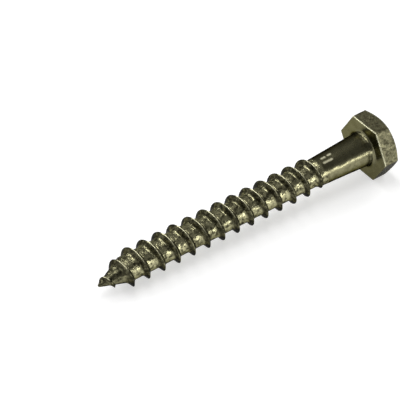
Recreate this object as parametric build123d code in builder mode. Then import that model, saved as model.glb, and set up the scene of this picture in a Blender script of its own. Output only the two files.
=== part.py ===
from build123d import *
import os
from math import atan, ceil, cos, degrees, pi, radians, sin, tan

# A lag screw in one piece: a forged hexagon head, a shank that tapers towards the thread, a coarse
# right-hand wood thread that fades out on the shank, and a gimlet point with the thread carried down it.
#
# The screw is modelled upright about the Z axis, with the bearing face at height 0, the head above it
# and the point below. It is then laid down the way it comes to rest: on one flat of the head and on one
# crest of the thread near the point, so the head end stays slightly raised. The origin of the laid
# screw is on the floor, under the middle of its length. All sizes are in millimetres and degrees.

# Head
across_flats = 12.9
head_height = 4.45
crown_flat_d = 11.1  # the flat disc that the corner chamfer leaves on the crown
crown_chamfer_angle = 30.0  # between the chamfer and the crown
head_corner_radius = 0.25  # upright corners of the hexagon
bearing_edge_radius = 0.15  # rim of the bearing face

# Shank
length = 66.6  # from the bearing face to the tip
shank_length = 12.9  # from the bearing face to the shoulder above the thread
shank_head_d = 7.6
shank_thread_d = 6.25
collar_size = 0.8  # the blend between the shank and the bearing face, along each
shoulder_length = 1.3  # cone from the shank down to the thread's root

# Thread
pitch = 3.6
thread_d = 7.75
root_d = 5.5
crest_width = 0.3
flank_angle = 32.5  # between a flank and a plane across the axis
run_out_start = 14.65  # from the bearing face, where the crest begins to sink
run_out_turns = 0.9
run_out_sink = 0.95  # how far the crest has sunk at the end of the run-out

# Point
point_length = 6.3
tip_d = 0.5
crest_taper_length = 6.6  # from the tip, where the crest begins to narrow
tip_crest_d = 1.0
point_turn_lead = 0.9  # from the tip, where the thread begins
tip_offset = 0.55  # the tip stands this far off the axis
tip_offset_direction = -50.0  # turned about the axis from the side that lies on the floor
rest_crest_setback = 0.5  # from the crest's taper back to the crest that rests on the floor

# How deep the ridge is rooted in the core, and how its curved ends are lofted
ridge_root = 0.3
sections_per_turn = 12
longest_loft_turns = 0.5

core_radius = root_d / 2
full_crest_radius = thread_d / 2
point_base = point_length - length
rest_crest = crest_taper_length + rest_crest_setback - length
thread_start = point_turn_lead - length
sink_start = -run_out_start


def height_of(turn):
    """Height of the ridge's middle after so many turns from the crest that rests on the floor."""
    return rest_crest + pitch * turn


def point_share(height):
    """0 where the point begins and 1 at the tip."""
    return max(0.0, (point_base - height) / point_length)


def radial_plane(turn):
    """The half plane through the axis where the ridge stands: x runs outwards and y up."""
    angle = 2 * pi * turn
    shift = tip_offset * point_share(height_of(turn))
    side = radians(tip_offset_direction)
    return Plane(
        origin=(shift * cos(side), shift * sin(side), height_of(turn)),
        x_dir=(cos(angle), sin(angle), 0),
        z_dir=(sin(angle), -cos(angle), 0),
    )


def root_radius(height):
    """The core's radius along the thread: a cylinder, then the cone of the point."""
    return core_radius + (tip_d / 2 - core_radius) * point_share(height)


def crest_radius(height):
    """The crest's radius: full along the thread, less along the point and the run-out."""
    from_tip = (height + length) / crest_taper_length
    on_point = tip_crest_d / 2 + (full_crest_radius - tip_crest_d / 2) * from_tip
    on_run_out = full_crest_radius - run_out_sink * (height - sink_start) / (pitch * run_out_turns)
    return min(full_crest_radius, on_point, on_run_out)


def ridge_section(turn):
    """The ridge's section at a turn: a crest between two flanks that run down into the core."""
    height = height_of(turn)
    root = root_radius(height)
    tall = crest_radius(height) - root
    scale = tall / (full_crest_radius - core_radius)
    half_crest = crest_width / 2 * scale
    half_base = half_crest + (tall + ridge_root * scale) * tan(radians(flank_angle))
    with BuildSketch(radial_plane(turn)) as section:
        with BuildLine():
            Polyline(
                (root_radius(height - half_base) - ridge_root * scale, -half_base),
                (root + tall, -half_crest),
                (root + tall, half_crest),
                (root_radius(height + half_base) - ridge_root * scale, half_base),
                close=True,
            )
        make_face()
    return section.sketch


def ridge_sections(first_turn, last_turn):
    """The ridge's sections, evenly spaced from one turn to another."""
    count = ceil((last_turn - first_turn) * sections_per_turn)
    return [ridge_section(first_turn + (last_turn - first_turn) * step / count) for step in range(count + 1)]


def short_spans(first_turn, last_turn):
    """The turns from first to last, cut into equal spans that one loft can follow closely."""
    count = ceil((last_turn - first_turn) / longest_loft_turns)
    ends = [first_turn + (last_turn - first_turn) * step / count for step in range(count + 1)]
    return list(zip(ends[:-1], ends[1:]))


# The head: a hexagonal prism whose corners are cut back by a cone
with BuildPart() as head:
    with BuildSketch() as hexagon:
        RegularPolygon(across_flats / 2, 6, major_radius=False, rotation=30)
        fillet(hexagon.vertices(), head_corner_radius)
    extrude(amount=head_height)
    fillet(head.faces().sort_by(Axis.Z)[0].edges(), bearing_edge_radius)
    with BuildSketch(Plane.XZ):
        with BuildLine():
            cone_base_radius = crown_flat_d / 2 + head_height / tan(radians(crown_chamfer_angle))
            Polyline(
                (0, 0),
                (cone_base_radius, 0),
                (crown_flat_d / 2, head_height),
                (0, head_height),
                close=True,
            )
        make_face()
    revolve(axis=Axis.Z, mode=Mode.INTERSECT)

# The blank below the head: collar, tapered shank, shoulder and the cylinder that carries the thread
with BuildPart() as blank:
    with BuildSketch(Plane.XZ):
        with BuildLine():
            Polyline(
                (shank_head_d / 2, -collar_size),
                (shank_thread_d / 2, -shank_length),
                (core_radius, -shank_length - shoulder_length),
                (core_radius, point_base),
                (0, point_base),
                (0, 0),
                (shank_head_d / 2 + collar_size, 0),
            )
            Bezier(
                (shank_head_d / 2 + collar_size, 0),
                (shank_head_d / 2, 0),
                (shank_head_d / 2, -collar_size),
            )
        make_face()
    revolve(axis=Axis.Z)

# The gimlet point: a cone that leans a little to one side
with BuildPart() as point:
    with BuildSketch(Plane.XY.offset(point_base)):
        Circle(core_radius)
    tip_side = radians(tip_offset_direction)
    tip_plane = Plane(origin=(tip_offset * cos(tip_side), tip_offset * sin(tip_side), -length))
    with BuildSketch(tip_plane):
        Circle(tip_d / 2)
    loft()

# The thread's ridge: an even helix swept turn by turn, a run-out that sinks into the shank, and a
# lead-in that tapers down the point
even_turns = (sink_start - rest_crest) / pitch
with BuildPart() as ridge:
    for turn in range(ceil(even_turns)):
        rise = pitch * min(1, even_turns - turn)
        with BuildLine() as helix:
            Helix(pitch=pitch, height=rise, radius=core_radius, center=(0, 0, height_of(turn)))
        sweep(ridge_section(turn), path=helix.line, is_frenet=True)
    for first, last in short_spans(even_turns, even_turns + run_out_turns):
        loft(ridge_sections(first, last))
    for first, last in short_spans((thread_start - rest_crest) / pitch, 0):
        loft(ridge_sections(first, last))

# The whole screw, still upright
with BuildPart() as screw:
    add(head.part)
    add(blank.part)
    add(point.part)
    add(ridge.part)

# Laid down: the flat on the head's +X side and the crest at rest_crest touch the floor
tilt = atan((across_flats / 2 - full_crest_radius) / -rest_crest)
reach_to_crown = head_height * cos(tilt) + crown_flat_d / 2 * sin(tilt)
reach_to_tip = length * cos(tilt)
middle = (reach_to_crown - reach_to_tip) / 2
resting = Plane(
    origin=(-middle, 0, across_flats / 2 * cos(tilt)),
    x_dir=(sin(tilt), 0, -cos(tilt)),
    z_dir=(cos(tilt), 0, sin(tilt)),
)
with BuildPart() as lag_screw:
    add(resting.from_local_coords(screw.part))

lag_screw.part.label = "lag_screw"
os.makedirs("parts", exist_ok=True)
export_step(lag_screw.part, "parts/lag_screw.step")

box = lag_screw.part.bounding_box()
print(f"resting tilt {degrees(tilt):.2f} degrees, {even_turns:.2f} even turns")
print(f"size {box.size.X:.2f} x {box.size.Y:.2f} x {box.size.Z:.2f} mm, lowest {box.min.Z:.3f} mm")
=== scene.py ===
# %% [markdown]
# # A lag screw, dressed
#
# A lag screw is rolled and forged from one piece of wire: a hexagon head to turn it by, a plain shank
# and a coarse wood thread that ends in a gimlet point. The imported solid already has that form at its
# real size. Here the same form is made once more as one fine surface, with the soft crests, the hollow
# roots and the slightly wavy skin that rolling and plating leave, and then it gets its plated finish,
# a pale floor, lamps and a camera.

# %% Load the fixed frame
import math

import bpy
import numpy as np
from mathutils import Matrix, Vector


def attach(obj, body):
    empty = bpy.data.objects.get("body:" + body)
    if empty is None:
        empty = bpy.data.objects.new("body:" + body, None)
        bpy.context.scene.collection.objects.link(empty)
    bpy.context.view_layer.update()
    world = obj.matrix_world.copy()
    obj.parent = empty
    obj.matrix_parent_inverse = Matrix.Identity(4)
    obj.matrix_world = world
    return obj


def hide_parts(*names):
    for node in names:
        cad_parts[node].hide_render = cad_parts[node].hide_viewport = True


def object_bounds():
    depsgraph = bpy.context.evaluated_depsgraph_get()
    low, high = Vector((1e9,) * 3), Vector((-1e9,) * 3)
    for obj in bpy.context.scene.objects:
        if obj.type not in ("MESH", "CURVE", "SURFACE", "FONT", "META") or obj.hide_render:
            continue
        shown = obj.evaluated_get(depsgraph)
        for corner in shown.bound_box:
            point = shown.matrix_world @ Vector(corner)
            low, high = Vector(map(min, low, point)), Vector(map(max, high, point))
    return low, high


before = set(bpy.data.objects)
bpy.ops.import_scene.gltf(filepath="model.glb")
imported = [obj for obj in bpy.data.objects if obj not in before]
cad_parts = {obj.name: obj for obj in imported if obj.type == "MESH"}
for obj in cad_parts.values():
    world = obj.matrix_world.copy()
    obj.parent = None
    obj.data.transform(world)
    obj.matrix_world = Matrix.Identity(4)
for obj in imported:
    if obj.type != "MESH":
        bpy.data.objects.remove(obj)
cad_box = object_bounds()
print("nodes", sorted(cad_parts), "box", [tuple(round(v, 5) for v in corner) for corner in cad_box])

# %% [markdown]
# ## The screw's own sizes
#
# The sizes below are the ones that the solid was made from, in millimetres, with the screw upright:
# the bearing face at height 0, the head above it and the point below. Angles are counted round the
# axis from the side that lies on the floor.

# %% Sizes in millimetres and degrees
across_flats = 12.9
head_height = 4.45
crown_flat_d = 11.1
crown_chamfer_angle = 30.0
head_corner_radius = 0.25
bearing_edge_radius = 0.15

length = 66.6
shank_length = 12.9
shank_head_d = 7.6
shank_thread_d = 6.25
collar_size = 0.8
shoulder_length = 1.3

pitch = 3.6
thread_d = 7.75
root_d = 5.5
flank_angle = 32.5
run_out_start = 14.65
run_out_turns = 0.9
run_out_sink = 0.95

point_length = 6.3
tip_d = 0.5
crest_taper_length = 6.6
tip_crest_d = 1.0
point_turn_lead = 0.9
tip_offset = 0.55
tip_offset_direction = -50.0
rest_crest_setback = 0.5

core_radius = root_d / 2
full_crest_radius = thread_d / 2
point_base = point_length - length
rest_crest = crest_taper_length + rest_crest_setback - length
thread_start = point_turn_lead - length
run_out_end = pitch * run_out_turns - run_out_start

# %% [markdown]
# ## The shaft as a radius over angle and height
#
# Below the head every point of the skin has one distance from the axis, so the shaft is a height map
# wrapped round a rod. It could also be a swept profile, but a sweep has no way to blend into the rod.
# The body is a chain of cones. The ridge is a crest with two flanks, repeated every pitch and wound
# round the rod. A soft maximum joins the two, which gives the hollow foot that rolling dies leave, and
# a soft minimum rounds the crest.

# %% Soft joins, the body and the ridge
nose_length = 0.3  # the blunt end of the tip is rounded over this height
foot_softness = 0.13  # how widely the ridge's foot blends into the root
crest_softness = 0.06  # how widely the crest rounds into its flanks
worn_crest_width = 0.12  # rolling leaves the crest narrower than the solid's
least_ridge_share = 0.05  # the ridge's crest and its rounding shrink with its height, down to this share


def ramp(value):
    """A value cut off below 0 and above 1."""
    return np.clip(value, 0.0, 1.0)


def soft_max(a, b, softness):
    """The larger of two lengths with a rounded corner.

    It is b plus softness times log(1 + exp((a - b) / softness)).
    """
    return b + softness * np.logaddexp(0.0, (a - b) / softness)


def soft_min(a, b, softness):
    """The smaller of two lengths with a rounded corner, as the soft maximum turned upside down."""
    return -soft_max(-a, -b, softness)


def core_at(height):
    """The thread's root: a cylinder, then a cone that narrows evenly to the tip."""
    return np.interp(height, [-length, point_base], [tip_d / 2, core_radius])


def body_at(height):
    """The rod without its thread: tip, cone, core, shoulder and tapering shank."""
    heights = [-length, point_base, -shank_length - shoulder_length, -shank_length, 0.0]
    radii = [tip_d / 2, core_radius, core_radius, shank_thread_d / 2, shank_head_d / 2]
    return np.interp(height, heights, radii)


def nose_at(height):
    """A quarter circle over the nose's length: 0 at the tip and 1 from there up."""
    share = ramp((height + length) / nose_length)
    return np.sqrt(1.0 - (1.0 - share) ** 2)


def crest_at(height):
    """The crest's radius: full along the thread, narrowing evenly down the point and up the run-out."""
    growth = full_crest_radius - tip_crest_d / 2
    on_point = tip_crest_d / 2 + growth * (height + length) / crest_taper_length
    on_run_out = full_crest_radius - run_out_sink * (height + run_out_start) / (pitch * run_out_turns)
    return np.minimum(full_crest_radius, np.minimum(on_point, on_run_out))


def ridge_offset(angle, height):
    """How far a point is above the ridge's middle, along the axis.

    It is the height less the helix's height at that angle, wrapped to half a pitch either way.
    """
    turns = (height - rest_crest) / pitch - angle / (2 * math.pi)
    return (turns - np.round(turns)) * pitch


def ridge_at(angle, height):
    """The ridge's radius: the crest's, less the distance past the crest's edge over tan(flank angle)."""
    offset = ridge_offset(angle, height)
    middle = height - offset
    tall = crest_at(middle) - core_at(middle)
    share = np.clip(tall / (full_crest_radius - core_radius), least_ridge_share, 1.0)
    past_edge = np.abs(offset) - worn_crest_width / 2 * share
    flank = core_at(middle) + tall - past_edge / math.tan(math.radians(flank_angle))
    ridge = soft_min(core_at(middle) + tall, flank, crest_softness * share)
    there = (middle >= thread_start) & (middle <= run_out_end)
    return np.where(there, ridge, 0.0)


sample = ridge_at(np.zeros(3), np.array([rest_crest, rest_crest + pitch / 4, rest_crest + pitch / 2]))
print("ridge at its middle, a quarter of a pitch away and half a pitch away", sample.round(2))

# %% [markdown]
# ## A slightly uneven skin
#
# Rolled and plated steel is never a perfect turned surface. A handful of long and short waves, each
# a sine over angle and height with its own phase, is added up. Their number round the axis is whole,
# so the pattern closes on itself. The waves only ever take metal away, which keeps the screw inside
# its box.

# %% Waves over the skin
chance = np.random.default_rng(7)
wave_count = 24
most_waves_round = 9
longest_wave_rate = 0.3  # radians per millimetre of height
shortest_wave_rate = 2.6
wave_gain = 3.0  # the mean of so many sines is small, so it is stretched before it is cut off
waves_round = chance.integers(-most_waves_round, most_waves_round + 1, wave_count)
waves_along = chance.uniform(longest_wave_rate, shortest_wave_rate, wave_count)
wave_phase = chance.uniform(0, 2 * math.pi, wave_count)


def waviness(angle, height):
    """The mean of the sines of (whole number x angle + rate x height + phase), between 0 and 1."""
    total = np.zeros(np.broadcast(angle, height).shape)
    for round_axis, along_axis, phase in zip(waves_round, waves_along, wave_phase):
        total += np.sin(round_axis * angle + along_axis * height + phase)
    return 0.5 + 0.5 * np.clip(total / wave_count * wave_gain, -1.0, 1.0)


skin_depth = 0.03  # the waves take away up to this much in the roots and on the shank
crest_wear_depth = 0.05  # and up to this much along the crests
least_fade = 0.2  # the share of the waves that is left at the tip


def shaft_radius(angle, height):
    """Body and ridge joined with a soft maximum, less the waves, and closed by the rounded nose."""
    body = body_at(height)
    ridge = ridge_at(angle, height)
    joined = np.where(ridge > 0, soft_max(body, ridge, foot_softness), body)
    over_root = ramp((joined - core_at(height)) / (full_crest_radius - core_radius))
    depth = skin_depth + (crest_wear_depth - skin_depth) * over_root
    fade_to_tip = np.clip((height + length) / point_length, least_fade, 1.0)
    fade_to_head = ramp(-height / (shank_length / 2))
    return (joined - depth * fade_to_tip * fade_to_head * waviness(angle, height)) * nose_at(height)


heights_down_the_shaft = np.linspace(-length, -collar_size, 200)
print("waves from", waviness(0.0, heights_down_the_shaft).min().round(2),
      "to", waviness(0.0, heights_down_the_shaft).max().round(2))

# %% [markdown]
# ## A grid that leans with the thread
#
# If the rows of a grid ran straight round the rod, they would cut the crests at a slant and leave them
# ragged. So each row climbs one pitch per turn, and the end of a row meets the start of the row one
# pitch higher. Rows are closest together at the crest. A row that climbs past the top ring or below
# the tip is held there, and the triangles that this squeezes flat are dropped, so both ends close.

# %% The shaft's leaning grid
columns = 96
rows_per_pitch = 34
crest_crowding = 0.6  # 1 spaces the rows evenly, less crowds them at the crest
ring_height = -9.0

share_round = np.arange(columns + 1) / columns
spread = 2 * np.arange(rows_per_pitch) / rows_per_pitch - 1
row_offsets = pitch / 2 * (crest_crowding * spread + (1 - crest_crowding) * spread**3)
first_turn = math.floor((-length - rest_crest) / pitch) - 2
last_turn = math.ceil((ring_height - rest_crest) / pitch) + 1
turns = np.arange(first_turn, last_turn + 1)
row_starts = (rest_crest + pitch * turns[:, None] + row_offsets[None, :]).ravel()

shaft_angle = np.broadcast_to(2 * math.pi * share_round, (len(row_starts), columns + 1))
shaft_height = np.clip(row_starts[:, None] + pitch * share_round[None, :], -length, ring_height)
wrapped_angle = np.where(share_round == 1.0, 0.0, 2 * math.pi * share_round) + np.zeros_like(shaft_height)
shaft_r = shaft_radius(wrapped_angle, shaft_height)
print("shaft grid", shaft_r.shape, "largest radius", shaft_r.max().round(3))

# %% [markdown]
# ## The shank's top, the collar and the head
#
# The head is a path from the collar out over the bearing face, up the side, in over the chamfer and
# back to the middle of the crown. Each column of the grid follows that path at its own angle, and the
# distance to the hexagon's side sets how far out it goes. Every corner of the path is a small curve,
# with a row close beside it on each side, so that the flats stay flat when they are shaded.

# %% The hexagon and its columns
sector = math.radians(60.0)
corner_reach = (across_flats / 2 - head_corner_radius) / math.cos(sector / 2)
corner_half_angle = math.atan2(
    head_corner_radius * math.sin(sector / 2),
    corner_reach + head_corner_radius * math.cos(sector / 2),
)
beside_corner = math.radians(0.7)  # from a corner's curve to the column close beside it


def hexagon_reach(angle):
    """From the axis to the hexagon.

    On a flat it is half the width across flats over the cosine of the angle from the flat's middle. At a
    corner it is the distance to the small circle that rounds it.
    """
    from_flat = np.abs((angle + sector / 2) % sector - sector / 2)
    from_corner = sector / 2 - from_flat
    flat = across_flats / 2 / np.cos(from_flat)
    inside = np.clip(head_corner_radius**2 - (corner_reach * np.sin(from_corner)) ** 2, 0.0, None)
    corner = corner_reach * np.cos(from_corner) + np.sqrt(inside)
    return np.where(from_corner < corner_half_angle, corner, flat)


half_sectors = 12
# in a half sector: at the start of the corner's curve, half way to its middle and at its middle
corner_columns = 3
even_columns = columns // half_sectors - corner_columns
to_corner = np.concatenate([
    np.linspace(0, sector / 2 - corner_half_angle - beside_corner, even_columns + 1),
    sector / 2 - corner_half_angle * np.array([1.0, 0.5, 0.0]),
])
half_sector = np.concatenate([to_corner, sector - to_corner[-2:0:-1]])
head_angle = np.concatenate([half_sector + sector * k for k in range(6)] + [[2 * math.pi]])
head_reach = hexagon_reach(np.where(head_angle == 2 * math.pi, 0.0, head_angle))
print("head columns", len(head_angle) - 1, "reach", head_reach.min().round(3), head_reach.max().round(3))

# %% [markdown]
# ## Rows for flats, curves and rounded corners
#
# A small helper makes each kind of row: a curve for the collar and the edges, and evenly spaced rows
# for the flats between them. A Bevel modifier could round the edges too. Rows are used because the
# head's columns then stay the shank's columns, turned a little on the way up, and the two join point
# by point.

# %% Three kinds of row
curve_steps = 5
beside_curve = 0.08  # from the end of a curve to the row close beside it


def curve(start, corner, end, steps):
    """Points on a quadratic curve: (1-t)(1-t) start + 2t(1-t) corner + t t end."""
    t = np.linspace(0, 1, steps + 1)[:, None, None]
    return (1 - t) ** 2 * start + 2 * t * (1 - t) * corner + t**2 * end


def rounded_corner(before, corner, after, reach):
    """The rows of one rounded corner, with a row close beside it on each side."""
    back = (before - corner) / np.linalg.norm(before - corner, axis=-1, keepdims=True)
    ahead = (after - corner) / np.linalg.norm(after - corner, axis=-1, keepdims=True)
    bend = curve(corner + back * reach, corner, corner + ahead * reach, curve_steps)
    beside = reach + beside_curve
    return np.concatenate([(corner + back * beside)[None], bend, (corner + ahead * beside)[None]])


def straight(start, end, steps):
    """Evenly spaced rows strictly between two rows."""
    t = np.linspace(0, 1, steps + 2)[1:-1, None, None]
    return (1 - t) * start + t * end


print("points on a rounded corner", curve_steps + 3)

# %% [markdown]
# ## The head's path
#
# The path turns at four places, the collar, the rim of the bearing face, the top of the side and the
# edge of the crown, and it ends at the crown's middle. The chamfer is a cone, so it drops by the tangent
# of its angle for each step outwards, and the top of the side is lowest at the hexagon's corners. That
# gives the curved line on each flat that a turned chamfer leaves.

# %% Rows of the head
collar_steps = 8
face_steps = 5
side_steps = 7
chamfer_steps = 1
crown_steps = 9
side_edge_radius = 0.12
crown_edge_radius = 0.3


def per_column(radius, height):
    """A (radius, height) pair for every column of the head."""
    radii = np.broadcast_to(radius, head_reach.shape)
    heights = np.broadcast_to(height, head_reach.shape)
    return np.stack([radii, heights], -1)


collar_low = per_column(shank_head_d / 2, -collar_size)
collar_corner = per_column(shank_head_d / 2, 0.0)
collar_high = per_column(shank_head_d / 2 + collar_size, 0.0)
bearing_edge = per_column(head_reach, 0.0)
chamfer_drop = (head_reach - crown_flat_d / 2) * math.tan(math.radians(crown_chamfer_angle))
side_top = per_column(head_reach, head_height - chamfer_drop)
crown_edge = per_column(crown_flat_d / 2, head_height)
crown_middle = per_column(0.0, head_height)

low_edge = rounded_corner(collar_high, bearing_edge, side_top, bearing_edge_radius)
high_edge = rounded_corner(bearing_edge, side_top, crown_edge, side_edge_radius)
crown_rim = rounded_corner(side_top, crown_edge, crown_middle, crown_edge_radius)
head_rows = np.concatenate([
    curve(collar_low, collar_corner, collar_high, collar_steps),
    straight(collar_high, low_edge[0], face_steps),
    low_edge,
    straight(low_edge[-1], high_edge[0], side_steps),
    high_edge,
    straight(high_edge[-1], crown_rim[0], chamfer_steps),
    crown_rim,
    straight(crown_rim[-1], crown_middle, crown_steps),
    crown_middle[None],
])
print("head rows", len(head_rows), "lowest side top", side_top[:, 1].min().round(3))

# %% [markdown]
# ## The shank's rows
#
# Between the leaning grid's top ring and the collar the rows are level. The grid's columns are evenly
# spaced and the head's are crowded at the corners of the hexagon, so each row turns its columns a
# little further from the one spacing to the other.

# %% Rows of the shank
shank_steps = 40
climb = np.arange(shank_steps)[:, None] / shank_steps
shank_height = ring_height + (-collar_size - ring_height) * climb + np.zeros(columns + 1)
shank_angle = 2 * math.pi * share_round * (1 - climb) + head_angle * climb
shank_wrapped = np.where(share_round == 1.0, 0.0, shank_angle)
shank_r = shaft_radius(shank_wrapped, shank_height)
print("shank rows", shank_steps, "radius from", shank_r.min().round(3), "to", shank_r.max().round(3))

# %% [markdown]
# ## One closed skin
#
# The leaning grid, the shank's rows and the head's rows are stacked and cut into triangles. Each point
# is a radius and an angle round the axis, and on the point of the screw the axis itself leans.

# %% Stack the grids
def grid_triangles(rows, across, first):
    """Two triangles for each cell of a grid whose points are numbered row by row from first."""
    corner = first + np.arange(rows - 1)[:, None] * across + np.arange(across - 1)[None, :]
    lower = np.stack([corner, corner + 1, corner + across + 1], -1).reshape(-1, 3)
    upper = np.stack([corner, corner + across + 1, corner + across], -1).reshape(-1, 3)
    return np.concatenate([lower, upper])


def lean_at(height):
    """How far the axis is shifted in x and y: evenly from the point's base to the full offset at the tip."""
    lean = tip_offset * ramp((point_base - height) / point_length)
    side = math.radians(tip_offset_direction)
    return lean * math.cos(side), lean * math.sin(side)


def ring_points(radius, angle, height):
    """Points at a radius and an angle round the axis, shifted sideways where the point leans."""
    lean_x, lean_y = lean_at(height)
    x = radius * np.cos(angle) + lean_x
    y = radius * np.sin(angle) + lean_y
    return np.stack([x, y, height], -1)


upper_r = np.concatenate([shank_r, head_rows[..., 0]])
upper_height = np.concatenate([shank_height, head_rows[..., 1]])
upper_angle = np.concatenate([shank_angle, np.broadcast_to(head_angle, head_rows.shape[:2])])
shaft_points = ring_points(shaft_r, shaft_angle, shaft_height).reshape(-1, 3)
upper_points = ring_points(upper_r, upper_angle, upper_height).reshape(-1, 3)
all_points = np.concatenate([shaft_points, upper_points])
all_triangles = np.concatenate([
    grid_triangles(len(row_starts), columns + 1, 0),
    grid_triangles(len(upper_r), columns + 1, len(shaft_points)),
])
print("points before the weld", len(all_points), "triangles", len(all_triangles))

# %% [markdown]
# ## Weld and count
#
# Points at the same place become one, and triangles with two like corners are dropped. Every edge of a
# closed skin belongs to two triangles, so the edges that don't are counted, and none may be left. Each
# triangle spans a small pyramid from the origin, and the sum of their volumes is negative if the faces
# point inwards. Blender's Merge by Distance and Recalculate Outside do the same by hand.

# %% Weld, count open edges and turn the faces outwards
weld_distance = 1e-5  # millimetres

_, kept, welded_index = np.unique(
    np.round(all_points / weld_distance).astype(np.int64), axis=0, return_index=True, return_inverse=True
)
points = all_points[kept]
triangles = welded_index.reshape(-1)[all_triangles]
a, b, c = triangles.T
triangles = triangles[(a != b) & (b != c) & (c != a)]

edges = np.sort(triangles[:, [0, 1, 1, 2, 2, 0]].reshape(-1, 2), axis=1)
edge_uses = np.unique(edges, axis=0, return_counts=True)[1]
corners = points[triangles]
volume = np.einsum("ij,ij->i", corners[:, 0], np.cross(corners[:, 1], corners[:, 2])).sum() / 6
if volume < 0:
    triangles = triangles[:, ::-1]
print("triangles", len(triangles), "open edges", int((edge_uses != 2).sum()), "volume", round(volume, 1))

# %% [markdown]
# ## Laid down
#
# A screw can't stand by itself. It rests on the lower edge of one flat of its head and on one crest
# near the point, by the same turn and shift as the solid. The turn goes into the points themselves,
# so that the object stays unturned at the origin.

# %% The resting turn and shift
tilt = math.atan((across_flats / 2 - full_crest_radius) / -rest_crest)
reach_to_crown = head_height * math.cos(tilt) + crown_flat_d / 2 * math.sin(tilt)
reach_to_tip = length * math.cos(tilt)
middle_of_length = (reach_to_crown - reach_to_tip) / 2
rest_origin = np.array([-middle_of_length, 0.0, across_flats / 2 * math.cos(tilt)])
floor_side = np.array([math.sin(tilt), 0.0, -math.cos(tilt)])
head_side = np.array([math.cos(tilt), 0.0, math.sin(tilt)])
left_side = np.cross(head_side, floor_side)
turn = np.stack([floor_side, left_side, head_side])


def to_world(upright):
    """Upright millimetres to resting metres: the shift plus x, y and z along the resting directions."""
    return (rest_origin + upright @ turn) / 1000


resting_points = to_world(points)
print("rests between", resting_points.min(0).round(5), "and", resting_points.max(0).round(5))

# %% [markdown]
# ## The mesh
#
# The points and triangles go into a Blender mesh as whole arrays. A mesh only needs to know where each
# triangle starts in the list of corners, and that its shading is smooth.

# %% Build the mesh
skin = bpy.data.meshes.new("lag_screw_skin")
skin.vertices.add(len(points))
skin.vertices.foreach_set("co", resting_points.astype(np.float32).ravel())
skin.loops.add(triangles.size)
skin.loops.foreach_set("vertex_index", triangles.astype(np.int32).ravel())
skin.polygons.add(len(triangles))
skin.polygons.foreach_set("loop_start", np.arange(0, triangles.size, 3, dtype=np.int32))
skin.polygons.foreach_set("use_smooth", np.ones(len(triangles), bool))
print("mesh points", len(points), "faces", len(triangles))

# %% [markdown]
# ## Where the thread gets painted shade and painted highlights
#
# The finish has to follow the form, so each point gets a number between 0 and 1 for each painted mark.
# Crest is 1 along the thin line of painted highlight on the crest, on the side that lies upwards.
# Flank is 1 on the ridge's sides, which get painted shade, less on the side that faces the
# head, and 0.75 all over the point. A mask could also be painted by hand, but then it would have to be
# painted again after each change of the form.

# %% The thread's masks
# The crest's painted highlight lies only on the side of the thread that lies upwards.
crest_heading = 199.0  # degrees round the axis, the middle of the side that lies upwards
crest_reach = 0.80  # cosine of the angle from that middle at which the painted highlight begins
crest_reach_soft = 0.12  # how much further the cosine rises until it is full
crest_line = 0.07  # half the width of the painted highlight line
crest_line_soft = 0.06  # how much further out it fades
flank_soft = 0.25  # share of the ridge's height over which the painted shade on the flank grows
flank_below = 0.02  # share of the ridge's height by which the painted shade starts below the root
head_side_share = 0.3  # the flank that faces the head gets less painted shade than the one that faces the tip
point_shade = 0.75  # how much painted shade the whole point gets, beside the flanks' 1
point_shade_above = 1.5  # how far above the point's base this painted shade begins
point_shade_length = 3.0  # and over what height it grows to full

point_height = points[:, 2]
lean_x, lean_y = lean_at(point_height)
point_x = points[:, 0] - lean_x
point_y = points[:, 1] - lean_y
point_r = np.hypot(point_x, point_y)
point_angle = np.arctan2(point_y, point_x)

threaded = ramp((-shank_length - point_height) / shoulder_length + 1)
above_root = (point_r - core_at(point_height)) / (full_crest_radius - core_radius)
on_point = ramp((point_base + point_shade_above - point_height) / point_shade_length)
towards_head = ridge_offset(point_angle, point_height)
crest_side = ramp((np.cos(point_angle - math.radians(crest_heading)) - crest_reach) / crest_reach_soft)
crest_highlight_mask = ramp(1.0 - (np.abs(towards_head) - crest_line) / crest_line_soft) * threaded * crest_side
# The flank mask puts painted shade on the ridge's sides, less on the side facing the head, and on the whole
# point.
flank_side = np.where(towards_head > 0, head_side_share, 1.0)
flank_shade_mask = ramp((above_root + flank_below) / flank_soft) * threaded * (1.0 - crest_highlight_mask) * flank_side
flank_shade_mask = np.maximum(flank_shade_mask, point_shade * on_point * (1.0 - crest_highlight_mask))
print("mean crest", crest_highlight_mask.mean().round(3), "mean flank", flank_shade_mask.mean().round(3))

# %% [markdown]
# ## The painted highlights on the rim and the shank
#
# The rim between the flats and the bearing face gets a painted highlight on the flats that lie upwards.
# The shank has three short painted highlights along its length, each a straight line with soft ends and
# sides.

# %% The rim's highlight mask and the shank's glint mask
rim_heading = 210.0  # degrees round the axis, between the two flats with the painted highlight
rim_reach = 0.42  # cosine of the angle from there at which the painted highlight begins
rim_reach_soft = 0.1
rim_width = 0.12  # on each side of the edge, and the same again to fade
# Three painted highlights on the shank, each given by an angle and a lower and upper end.
glint_marks = ((182.5, -11.4, -10.6), (182.5, -9.8, -9.1), (204.0, -11.6, -9.6))  # angle, lower and upper end
glint_half_width = 0.32  # at its outermost
glint_core = 1.5  # above 1, so that the middle of a painted glint is at full strength

# A painted highlight along the rim, only on the flats that lie upwards.
rim_distance = np.hypot(point_r - hexagon_reach(point_angle % (2 * math.pi)), point_height)
rim_side = ramp((np.cos(point_angle - math.radians(rim_heading)) - rim_reach) / rim_reach_soft)
rim_highlight_mask = ramp(1.0 - (rim_distance - rim_width) / rim_width) * rim_side

glint_mask = np.zeros(len(points))
for glint_angle, lower_end, upper_end in glint_marks:
    round_axis = (point_angle - math.radians(glint_angle) + math.pi) % (2 * math.pi) - math.pi
    across = point_r * round_axis
    along = point_height - np.clip(point_height, lower_end, upper_end)
    one_glint = ramp(glint_core - glint_core * np.hypot(across, along) / glint_half_width)
    glint_mask = np.maximum(glint_mask, one_glint)

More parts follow.
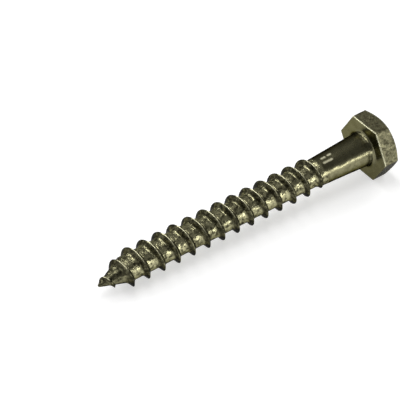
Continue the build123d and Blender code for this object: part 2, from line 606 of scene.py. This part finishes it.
masks = {"crest": crest_highlight_mask, "flank": flank_shade_mask, "rim": rim_highlight_mask, "shank_glint": glint_mask}
for name, values in masks.items():
    layer = skin.attributes.new(name, "FLOAT", "POINT")
    layer.data.foreach_set("value", values.astype(np.float32))
print("points on the rim", int((rim_highlight_mask > 0.5).sum()), "on the scuffs", int((glint_mask > 0.5).sum()))

# %% [markdown]
# ## Four regions
#
# The forged head, the bearing face that the die pressed, the drawn shank and the rolled thread wear
# differently, so each region gets a material of its own. The border between shank and thread follows
# the leaning rows, so that it doesn't cut across a crest.

# %% Faces into regions
head_region, shank_region, thread_region, face_region = 0, 1, 2, 3
middle_x, middle_y, middle_height = points[triangles].mean(1).T
middle_turn = np.arctan2(middle_y, middle_x) / (2 * math.pi) % 1.0
last_turn_of_thread = math.floor((run_out_end - rest_crest) / pitch) - 0.5
above_thread = middle_height - pitch * middle_turn > rest_crest + pitch * last_turn_of_thread
on_head = middle_height > -collar_size / 2
on_face = on_head & (middle_height < bearing_edge_radius / 2)
region = np.where(above_thread, shank_region, thread_region)
region[on_head] = head_region
region[on_face] = face_region
skin.polygons.foreach_set("material_index", region.astype(np.int32))
skin.update()
skin.validate()
print("faces in head, shank, thread and bearing face", np.bincount(region))

# %% [markdown]
# ## One piece for one solid
#
# The skin stands for the imported solid, which is hidden from view and stays for collision. It rides on
# the body root.

# %% The screw's object
screw = bpy.data.objects.new("lag_screw_finish", skin)
bpy.context.scene.collection.objects.link(screw)
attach(screw, "root")
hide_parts("lag_screw")
print("piece", screw.name, "with", len(skin.polygons), "faces")

# %% [markdown]
# ## Helpers for groups and materials
#
# A material is a tree of nodes, and a group is a tree that several materials share. Four small functions
# keep the cells below short: one starts a group, one adds a node of any kind, and two add the kinds that
# come up most, a sum and a noise.

# %% Helpers for any tree of nodes
def new_group(name, inputs, outputs):
    """An empty shader node group with named float or colour sockets, and its two end nodes."""
    group = bpy.data.node_groups.new(name, "ShaderNodeTree")
    for label, kind, value in inputs:
        socket = group.interface.new_socket(label, in_out="INPUT", socket_type=kind)
        socket.default_value = value
    for label, kind in outputs:
        group.interface.new_socket(label, in_out="OUTPUT", socket_type=kind)
    return group, group.nodes.new("NodeGroupInput"), group.nodes.new("NodeGroupOutput")


def add_node(tree, kind, **settings):
    """A node of one kind with its plain settings, such as the operation of a Math node."""
    node = tree.nodes.new(kind)
    for key, value in settings.items():
        setattr(node, key, value)
    return node


def add_math(tree, operation, first, second):
    """A Math node whose inputs are sockets or numbers."""
    node = add_node(tree, "ShaderNodeMath", operation=operation)
    for socket, value in zip(node.inputs, (first, second)):
        if isinstance(value, bpy.types.NodeSocket):
            tree.links.new(value, socket)
        else:
            socket.default_value = value
    return node.outputs[0]


def add_noise(tree, place, scale, detail, roughness):
    """A Noise texture read at a place, with a scale from a socket."""
    node = add_node(tree, "ShaderNodeTexNoise")
    tree.links.new(place, node.inputs["Vector"])
    tree.links.new(scale, node.inputs["Scale"])
    node.inputs["Detail"].default_value = detail
    node.inputs["Roughness"].default_value = roughness
    return node.outputs["Fac"]


print("helpers ready for", bpy.app.version_string)

# %% [markdown]
# ## The uneven skin under the plating
#
# Rolled steel has broad dimples with a finer grain on them. Both could be modelled, but at a tenth of a
# millimetre they are better left to a Bump node. The group adds the two noises up to one height, and
# each material says how broad and how strong they are.

# %% The group of the uneven skin
dimples, dimples_in, dimples_out = new_group(
    "uneven_skin",
    [("Dimple Scale", "NodeSocketFloat", 1400.0), ("Grain Scale", "NodeSocketFloat", 5200.0),
     ("Grain Share", "NodeSocketFloat", 0.2)],
    [("Height", "NodeSocketFloat")],
)
place = add_node(dimples, "ShaderNodeTexCoord").outputs["Object"]
broad = add_noise(dimples, place, dimples_in.outputs["Dimple Scale"], detail=2.0, roughness=0.5)
fine = add_noise(dimples, place, dimples_in.outputs["Grain Scale"], detail=2.0, roughness=0.6)
fine_part = add_math(dimples, "MULTIPLY", fine, dimples_in.outputs["Grain Share"])
dimples.links.new(add_math(dimples, "ADD", broad, fine_part), dimples_out.inputs["Height"])
print("group", dimples.name, "with", len(dimples.nodes), "nodes")

# %% [markdown]
# ## The plating's tint
#
# The plating is an olive gold that is thin and pale in one place and dark in the next. A noise, shifted
# by a balance, stretched by a contrast and cut off at 0 and 1, picks between a dark and a pale colour.
# The same patches go out as a number, because dark plating is also duller.

# %% The group of the plating
def mix_color(tree, share, first, second):
    """A mix of colours: (1 - share) x first + share x second, where the second may be a plain colour."""
    mix = add_node(tree, "ShaderNodeMix", data_type="RGBA")
    tree.links.new(share, mix.inputs["Factor"])
    tree.links.new(first, mix.inputs["A"])
    if isinstance(second, bpy.types.NodeSocket):
        tree.links.new(second, mix.inputs["B"])
    else:
        mix.inputs["B"].default_value = (*second, 1)
    return [socket for socket in mix.outputs if socket.type == "RGBA"][0]


plating, plating_in, plating_out = new_group(
    "olive_plating",
    [("Dark", "NodeSocketColor", (0.1, 0.1, 0.05, 1)), ("Pale", "NodeSocketColor", (0.5, 0.5, 0.3, 1)),
     ("Patch Scale", "NodeSocketFloat", 500.0), ("Balance", "NodeSocketFloat", 0.5),
     ("Contrast", "NodeSocketFloat", 2.0)],
    [("Color", "NodeSocketColor"), ("Patches", "NodeSocketFloat")],
)
place = add_node(plating, "ShaderNodeTexCoord").outputs["Object"]
patch_noise = add_noise(plating, place, plating_in.outputs["Patch Scale"], detail=4.0, roughness=0.6)
from_balance = add_math(plating, "SUBTRACT", patch_noise, plating_in.outputs["Balance"])
spread_out = add_math(plating, "MULTIPLY", from_balance, plating_in.outputs["Contrast"])
centred = add_math(plating, "ADD", spread_out, 0.5)
clamped = add_node(plating, "ShaderNodeClamp")
plating.links.new(centred, clamped.inputs["Value"])
tint = mix_color(plating, clamped.outputs[0], plating_in.outputs["Dark"], plating_in.outputs["Pale"])
plating.links.new(tint, plating_out.inputs["Color"])
plating.links.new(clamped.outputs[0], plating_out.inputs["Patches"])
print("group", plating.name, "with", len(plating.nodes), "nodes")

# %% [markdown]
# ## Four finishes of one plating
#
# Each material is a metal whose colour, roughness and bump come from the groups. The head is dull and
# mottled from forging. The bearing face was pressed smooth. The shank was drawn and shines. The thread
# has the deepest dimples and the strongest patches. The darkest two are a little less than fully
# metallic, which stands for the dirt and thin spots in their plating.

# %% A function for one region's material
def plated(name, dark, pale, patch_scale, balance, contrast, rough_dark, rough_pale,
           dimple_scale, dimple_depth, grain_share, metallic=1.0):
    """A metallic material: tint and roughness from the plating's patches, bump from the uneven skin."""
    material = bpy.data.materials.new(name)
    material.use_nodes = True
    tree = material.node_tree
    shader = tree.nodes["Principled BSDF"]
    shader.inputs["Metallic"].default_value = metallic
    shader.inputs["Specular Tint"].default_value = (0.0, 0.0, 0.0, 1)
    coating = add_node(tree, "ShaderNodeGroup", node_tree=plating)
    coating.inputs["Dark"].default_value = (*dark, 1)
    coating.inputs["Pale"].default_value = (*pale, 1)
    coating.inputs["Patch Scale"].default_value = patch_scale
    coating.inputs["Balance"].default_value = balance
    coating.inputs["Contrast"].default_value = contrast
    relief = add_node(tree, "ShaderNodeGroup", node_tree=dimples)
    relief.inputs["Dimple Scale"].default_value = dimple_scale
    relief.inputs["Grain Share"].default_value = grain_share
    bump = add_node(tree, "ShaderNodeBump")
    bump.inputs["Strength"].default_value = 1.0
    bump.inputs["Distance"].default_value = dimple_depth
    tree.links.new(relief.outputs["Height"], bump.inputs["Height"])
    tree.links.new(bump.outputs["Normal"], shader.inputs["Normal"])
    rough = add_node(tree, "ShaderNodeMapRange")
    rough.inputs["To Min"].default_value = rough_dark
    rough.inputs["To Max"].default_value = rough_pale
    tree.links.new(coating.outputs["Patches"], rough.inputs["Value"])
    tree.links.new(rough.outputs["Result"], shader.inputs["Roughness"])
    tree.links.new(coating.outputs["Color"], shader.inputs["Base Color"])
    return material, coating, shader, rough.outputs["Result"]


# %% [markdown]
# ## The numbers of each finish
#
# Scales are noise cells per metre, so 1000 gives patches of about a millimetre, and depths are metres.
# Balance is the noise value at which dark turns to pale, and contrast says how sharply it turns.

# %% The four materials
head_steel, *_ = plated(
    "forged_head", dark=(0.06, 0.056, 0.033), pale=(0.195, 0.185, 0.108), patch_scale=1300.0, balance=0.5,
    contrast=3.4, rough_dark=0.36, rough_pale=0.27, dimple_scale=2600.0, dimple_depth=0.9e-4,
    grain_share=0.2, metallic=0.8)
face_steel, *_ = plated(
    "pressed_face", dark=(0.15, 0.142, 0.082), pale=(0.207, 0.197, 0.117), patch_scale=500.0, balance=0.5,
    contrast=2.0, rough_dark=0.3, rough_pale=0.24, dimple_scale=700.0, dimple_depth=0.6e-5,
    grain_share=0.1)
shank_steel, shank_coating, shank_shader, shank_rough = plated(
    "drawn_shank", dark=(0.11, 0.103, 0.058), pale=(0.26, 0.248, 0.144), patch_scale=1100.0, balance=0.47,
    contrast=2.2, rough_dark=0.31, rough_pale=0.23, dimple_scale=900.0, dimple_depth=3.0e-5,
    grain_share=0.15)
thread_steel, thread_coating, thread_shader, thread_rough = plated(
    "rolled_thread", dark=(0.065, 0.061, 0.034), pale=(0.47, 0.449, 0.264), patch_scale=1250.0, balance=0.48,
    contrast=4.6, rough_dark=0.3, rough_pale=0.22, dimple_scale=1050.0, dimple_depth=1.55e-4,
    grain_share=0.12, metallic=0.85)
print("finishes", head_steel.name, face_steel.name, shank_steel.name, thread_steel.name)

# %% [markdown]
# ## Painted shade on the flanks and painted highlights on the crests
#
# The flank's number mixes the plating towards a near black, as painted shade. It does so a little less in
# pale patches, which keeps the flanks mottled. The crest's number then mixes in a pale painted highlight,
# with a roughness of its own.

# %% The thread's painted shade and painted highlights
# A near black painted shade for the flanks and the point.
flank_shade_color = (0.034, 0.032, 0.019)
pale_patch_relief = -0.22
# A pale painted highlight along the upward crests.
crest_highlight_color = (0.68, 0.657, 0.435)
crest_highlight_roughness = 0.32


def mask_of(tree, name):
    """The number that each point of the mesh carries under a name."""
    return add_node(tree, "ShaderNodeAttribute", attribute_name=name).outputs["Fac"]


def mix_number(tree, share, first, second):
    """A mix of numbers: (1 - share) x first + share x second, where the second is a plain number."""
    mix = add_node(tree, "ShaderNodeMix", data_type="FLOAT")
    tree.links.new(share, mix.inputs["Factor"])
    tree.links.new(first, mix.inputs["A"])
    mix.inputs["B"].default_value = second
    return mix.outputs["Result"]


tree = thread_steel.node_tree
relief_share = add_math(tree, "MULTIPLY", thread_coating.outputs["Patches"], pale_patch_relief)
flank_shade_strength = add_math(tree, "ADD", relief_share, 1.0)
flank_shade_share = add_math(tree, "MULTIPLY", mask_of(tree, "flank"), flank_shade_strength)
crest_highlight_share = mask_of(tree, "crest")
shaded_flanks = mix_color(tree, flank_shade_share, thread_coating.outputs["Color"], flank_shade_color)
tree.links.new(mix_color(tree, crest_highlight_share, shaded_flanks, crest_highlight_color), thread_shader.inputs["Base Color"])
crest_highlight_rough = mix_number(tree, crest_highlight_share, thread_rough, crest_highlight_roughness)
tree.links.new(crest_highlight_rough, thread_shader.inputs["Roughness"])
print("thread material with", len(tree.nodes), "nodes")

# %% [markdown]
# ## Painted glints on the shank
#
# Three short painted highlights lie along the shank, pale and matt. An image could hold such
# marks, but three straight ones are easier to keep as numbers: their mask mixes in a paler colour and a
# higher roughness.

# %% The shank's painted glints
# The pale colour of the painted glints on the shank.
glint_color = (0.58, 0.56, 0.4)
glint_roughness = 0.6

tree = shank_steel.node_tree
glint_share = mask_of(tree, "shank_glint")
glinting = mix_color(tree, glint_share, shank_coating.outputs["Color"], glint_color)
tree.links.new(glinting, shank_shader.inputs["Base Color"])
glint_rough = mix_number(tree, glint_share, shank_rough, glint_roughness)
tree.links.new(glint_rough, shank_shader.inputs["Roughness"])
print("shank material with", len(tree.nodes), "nodes")

# %% [markdown]
# ## The painted highlight on the rim of the bearing face
#
# The head's sharpest edge gets a painted highlight. A Bevel node could find edges by itself, but it would
# brighten every edge, and only the upper flats get the highlight. The rim lies on both sides of the edge, so
# the head's material and the bearing face's both get it.

# %% The rim's painted highlight
# The colour of the rim's painted highlight.
rim_highlight_color = (0.60, 0.585, 0.40)

for material in (head_steel, face_steel):
    tree = material.node_tree
    shader = tree.nodes["Principled BSDF"]
    plain_color = shader.inputs["Base Color"].links[0].from_socket
    rim_highlighted = mix_color(tree, mask_of(tree, "rim"), plain_color, rim_highlight_color)
    tree.links.new(rim_highlighted, shader.inputs["Base Color"])
    print(material.name, "with", len(tree.nodes), "nodes")

# %% [markdown]
# ## The materials on the mesh
#
# A face's region number is the place of its material in the mesh's list, so the order here is the head,
# the shank, the thread and the bearing face.

# %% Fill the mesh's material slots
for material in (head_steel, shank_steel, thread_steel, face_steel):
    skin.materials.append(material)
print("materials", [m.name for m in skin.materials])

# %% [markdown]
# ## The floor
#
# The screw lies on a plain pale floor at the height of the solid's lowest point. The floor is so large
# that its edges stay outside the picture.

# %% The floor
floor_half = 2.0  # metres
floor_mesh = bpy.data.meshes.new("floor")
low = cad_box[0][2]
floor_corners = [
    (-floor_half, -floor_half, low),
    (floor_half, -floor_half, low),
    (floor_half, floor_half, low),
    (-floor_half, floor_half, low),
]
floor_mesh.from_pydata(floor_corners, [], [(0, 1, 2, 3)])
floor = bpy.data.objects.new("floor", floor_mesh)
bpy.context.scene.collection.objects.link(floor)
print("floor at height", low)

# %% [markdown]
# ## White paper
#
# Rays from the camera and mirror rays see the floor a little brighter than the lamps make it. That
# whitens it without adding diffuse light to the screw, and its shadow stays, which a floor that only
# glows would lose.

# %% The floor's material
floor_color = 0.62
floor_lift = 0.57  # what the camera and mirror rays see on top of the lamps' light

paper = bpy.data.materials.new("white_paper")
paper.use_nodes = True
tree = paper.node_tree
tree.nodes.clear()
surface = add_node(tree, "ShaderNodeBsdfDiffuse")
surface.inputs["Color"].default_value = (floor_color, floor_color, floor_color, 1)
glow = add_node(tree, "ShaderNodeEmission")
rays = add_node(tree, "ShaderNodeLightPath")
seen = add_math(tree, "MAXIMUM", rays.outputs["Is Camera Ray"], rays.outputs["Is Glossy Ray"])
seen = add_math(tree, "MAXIMUM", seen, rays.outputs["Is Transmission Ray"])
tree.links.new(add_math(tree, "MULTIPLY", seen, floor_lift), glow.inputs["Strength"])
both = add_node(tree, "ShaderNodeAddShader")
tree.links.new(surface.outputs[0], both.inputs[0])
tree.links.new(glow.outputs[0], both.inputs[1])
paper_out = add_node(tree, "ShaderNodeOutputMaterial")
tree.links.new(both.outputs[0], paper_out.inputs["Surface"])
floor_mesh.materials.append(paper)
print("floor material with", len(tree.nodes), "nodes")

# %% [markdown]
# ## The room's dim light
#
# What no lamp reaches still gets a little even light from the world, as from the walls of a room.

# %% The room
room_strength = 0.11
room = bpy.data.worlds.new("studio")
bpy.context.scene.world = room
room.use_nodes = True
room.node_tree.nodes["Background"].inputs["Color"].default_value = (1, 1, 1, 1)
room.node_tree.nodes["Background"].inputs["Strength"].default_value = room_strength
print("world", room.name, "at strength", room_strength)

# %% [markdown]
# ## The lamps
#
# Polished metal shows what stands round it more than it shows light. So the lamps are broad faces, and
# each is placed where the screw should mirror it: a low strip for the pale streak along the shank and
# thread, a tube overhead for the crest lines, a square ceiling, and three dimmer ones for the head's
# sides and the point.

# %% Six lamps
screw_middle = (Vector(cad_box[0]) + Vector(cad_box[1])) / 2


def soft_lamp(name, heading, elevation, distance, width, height, brightness):
    """A rectangular lamp that faces the screw's middle; brightness is what its face shows, 1 being white."""
    data = bpy.data.lights.new(name, "AREA")
    data.shape = "RECTANGLE"
    data.size = width
    data.size_y = height
    data.energy = brightness * math.pi * width * height
    lamp = bpy.data.objects.new(name, data)
    level = math.cos(math.radians(elevation))
    towards = Vector((
        level * math.cos(math.radians(heading)),
        level * math.sin(math.radians(heading)),
        math.sin(math.radians(elevation)),
    ))
    lamp.location = screw_middle + towards * distance
    lamp.rotation_euler = (-towards).to_track_quat("-Z", "Y").to_euler()
    lamp.visible_camera = False
    bpy.context.scene.collection.objects.link(lamp)


# each lamp's heading, elevation, distance, width, height and brightness
soft_lamp("low_strip", -62, 5.6, 0.5, 0.6, 0.065, 8.0)
soft_lamp("ceiling", 180, 74, 0.6, 0.33, 0.33, 2.4)
soft_lamp("ceiling_tube", 90, 66, 0.6, 0.06, 0.8, 10.5)
soft_lamp("far_left", 138, 34, 0.6, 0.22, 0.18, 6.5)
soft_lamp("over_the_head", 15, 32, 0.6, 0.35, 0.25, 4.6)
soft_lamp("beyond_the_point", 165, 7, 0.5, 0.5, 0.1, 0.9)

# %% [markdown]
# ## The camera
#
# A long lens looks down at the screw from beside its point. The heading is turned from straight across
# the screw towards the point, and the elevation is counted up from the floor.

# %% The camera
view_heading = math.radians(34.9)
view_elevation = math.radians(41.0)
view_distance = 0.2931
look_at = Vector((-0.0061, 0.00733, 0.00512))
away = Vector((
    -math.cos(view_elevation) * math.sin(view_heading),
    -math.cos(view_elevation) * math.cos(view_heading),
    math.sin(view_elevation),
))
lens = bpy.data.cameras.new("camera")
lens.lens = 128.8
lens.sensor_width = 36.0
lens.clip_start = 0.01
camera = bpy.data.objects.new("camera", lens)
camera.location = look_at + away * view_distance
camera.rotation_euler = (-away).to_track_quat("-Z", "Y").to_euler()
bpy.context.scene.collection.objects.link(camera)
bpy.context.scene.camera = camera
bpy.context.scene.view_settings.view_transform = "Standard"
print("camera at", tuple(round(v, 4) for v in camera.location))
